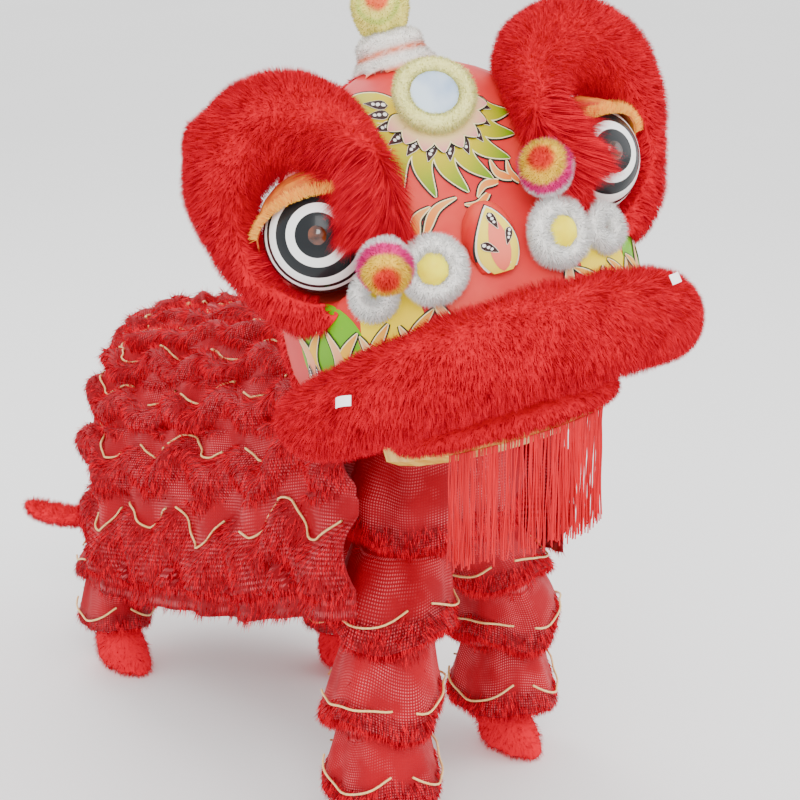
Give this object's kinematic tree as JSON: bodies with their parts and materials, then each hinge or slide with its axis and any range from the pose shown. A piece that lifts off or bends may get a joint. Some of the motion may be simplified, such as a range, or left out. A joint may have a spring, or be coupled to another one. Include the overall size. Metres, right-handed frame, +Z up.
{
  "type": "two-person southern lion dance costume",
  "caption": "Two-person lion dance costume: hollow furred head with hinged jaw and eyelids, tiered body drape, tail, trousers, ankle bands and shoe covers.",
  "frame": {"origin": "middle of the grip bar inside the head, where the front dancer holds the costume up", "axes": "+Z up, the lion faces -Y, +X is the lion's left; the shoe soles lie 1.10 m below the origin"},
  "size_m": [0.9865, 1.9992, 1.734],
  "materials": {
    "red_fur": "long bright red fur",
    "white_fur": "short white fur",
    "yellow_fur": "short pale yellow fur",
    "pompom_fur": "dyed fur ball, white, magenta, yellow and red",
    "painted_shell": "painted and varnished paper shell",
    "yellow_paint": "gloss yellow paint",
    "gold_paint": "gold paint",
    "eye_paint": "white and black rings, varnished",
    "pupil_glass": "dark amber gloss",
    "mirror_glass": "small round mirror",
    "rattan": "plain cane",
    "red_mesh": "red sequin mesh with fur flounces and gold cord",
    "white_cloth": "white ribbed knit",
    "red_string": "red rayon strings"
  },
  "bodies": {
    "head": {"head_shell": "painted_shell", "grip_bar": "rattan", "eye_right": "eye_paint", "eye_left": "eye_paint", "pupil_right": "pupil_glass", "pupil_left": "pupil_glass", "upper_lip_fur": "red_fur", "brow_fur_right": "red_fur", "brow_fur_left": "red_fur", "ear_right": "red_fur", "ear_left": "red_fur", "nose": "painted_shell", "nostril_fur_right": "white_fur", "nostril_fur_left": "white_fur", "nostril_right": "yellow_paint", "nostril_left": "yellow_paint", "cheek_roll_right": "white_fur", "cheek_roll_left": "white_fur", "pompom_right": "pompom_fur", "pompom_left": "pompom_fur", "forehead_mirror": "mirror_glass", "mirror_fur_ring": "yellow_fur", "horn_base_fur": "white_fur", "horn_ball": "yellow_fur", "body_drape": "red_mesh", "tail": "red_fur", "front_trousers": "red_mesh", "rear_trousers": "red_mesh", "front_right_ankle_band": "white_cloth", "front_left_ankle_band": "white_cloth", "rear_right_ankle_band": "white_cloth", "rear_left_ankle_band": "white_cloth", "front_right_shoe_cover": "red_fur", "front_left_shoe_cover": "red_fur", "rear_right_shoe_cover": "red_fur", "rear_left_shoe_cover": "red_fur"},
    "jaw": {"jaw_board": "gold_paint", "jaw_lip_fur": "red_fur", "beard_strings": "red_string"},
    "lid_right": {"eyelid_right": "gold_paint"},
    "lid_left": {"eyelid_left": "gold_paint"}
  },
  "joints": [
    {"name": "jaw_hinge", "type": "hinge", "parent": "head", "child": "jaw", "pos_m": [0, 0, 0], "axis": [0.9198, -0.3375, 0.2001], "range_deg": [0, 18]},
    {"name": "lid_right_hinge", "type": "hinge", "parent": "head", "child": "lid_right", "pos_m": [-0.31208, 0.01677, 0.23339], "axis": [0.778, -0.5653, 0.2744], "range_deg": [0, 45]},
    {"name": "lid_left_hinge", "type": "hinge", "parent": "head", "child": "lid_left", "pos_m": [0.14045, -0.1493, 0.33186], "axis": [0.9904, -0.0837, 0.1104], "range_deg": [0, 45]}
  ],
  "couplings": [
    {"joint": "lid_left_hinge", "follows": "lid_right_hinge", "ratio": 1}
  ]
}
